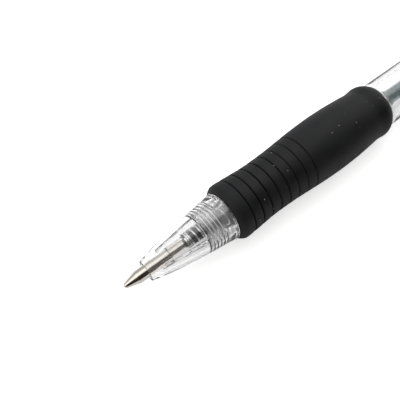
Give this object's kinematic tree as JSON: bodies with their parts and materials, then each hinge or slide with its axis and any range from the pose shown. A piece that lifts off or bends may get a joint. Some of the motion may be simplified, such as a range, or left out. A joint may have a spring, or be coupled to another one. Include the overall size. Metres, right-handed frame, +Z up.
{
  "type": "retractable gel pen",
  "caption": "Retractable gel pen with a clear screw-on nose cone, ring-grooved rubber grip, clear barrel, sprung pocket clip and push button, lying with its point out.",
  "frame": {"origin": "on the desk, in the middle of the footprint of the pen lying with its point out", "axes": "+X along the pen's axis from the writing point to the push button, +Z up, and the clip rolled down to the desk on the +Y side"},
  "size_m": [0.143, 0.0142, 0.0117],
  "materials": {
    "steel": "smooth bright steel",
    "spring_steel": "drawn wire",
    "translucent_plastic": "translucent",
    "gel_ink": "wet black",
    "grease": "clear grease",
    "clear_plastic": "clear, polished",
    "black_rubber": "matt",
    "black_plastic": "semi-gloss",
    "white_plastic": "natural acetal"
  },
  "bodies": {
    "barrel": {"barrel": "clear_plastic", "grip": "black_rubber", "end_collar": "black_plastic", "cam_sleeve": "white_plastic"},
    "spring": {"return_spring": "spring_steel"},
    "nose": {"nose_cone": "clear_plastic"},
    "refill": {"point_housing": "steel", "point_spring": "spring_steel", "tip_holder": "translucent_plastic", "ink_tube": "translucent_plastic", "ink": "gel_ink", "ink_follower": "grease", "refill_tail": "translucent_plastic"},
    "ball": {"writing_ball": "steel"},
    "rotor": {"cam_rotor": "white_plastic"},
    "knock": {"plunger": "white_plastic", "push_button": "black_plastic"},
    "clip": {"clip": "black_plastic"}
  },
  "joints": [
    {"name": "knock_slide", "type": "slide", "parent": "barrel", "child": "knock", "axis": [1, 0, 0], "range_m": [-0.0012, 0.005], "stiffness_N_per_m": 60, "deforming": ["return_spring"]},
    {"name": "refill_slide", "type": "slide", "parent": "barrel", "child": "refill", "axis": [1, 0, 0], "range_m": [-0.0012, 0.005]},
    {"name": "cam_turn", "type": "hinge", "parent": "refill", "child": "rotor", "pos_m": [0.0515, -0.00124, 0.00585], "axis": [1, 0, 0], "range_deg": [-10.8, 45]},
    {"name": "ball_roll", "type": "hinge", "parent": "refill", "child": "ball", "pos_m": [-0.07115, -0.00124, 0.00585], "axis": [0, 1, 0], "continuous": true},
    {"name": "nose_travel", "type": "slide", "parent": "barrel", "child": "spring", "axis": [-1, 0, 0], "range_m": [0, 0.0035]},
    {"name": "nose_turn", "type": "hinge", "parent": "spring", "child": "nose", "pos_m": [-0.0671, -0.00124, 0.00585], "axis": [-1, 0, 0], "range_deg": [0, 1800]},
    {"name": "clip_flex", "type": "hinge", "parent": "barrel", "child": "clip", "pos_m": [0.06025, 0.00544, 0.00234], "axis": [0, -0.4651, -0.8853], "range_deg": [0, 5], "stiffness_Nm_per_rad": 1}
  ],
  "couplings": [
    {"joint": "refill_slide", "follows": "knock_slide", "ratio": 1},
    {"joint": "cam_turn", "follows": "knock_slide", "rad_per_m": 157.08},
    {"joint": "nose_turn", "follows": "nose_travel", "rad_per_m": 8976}
  ]
}
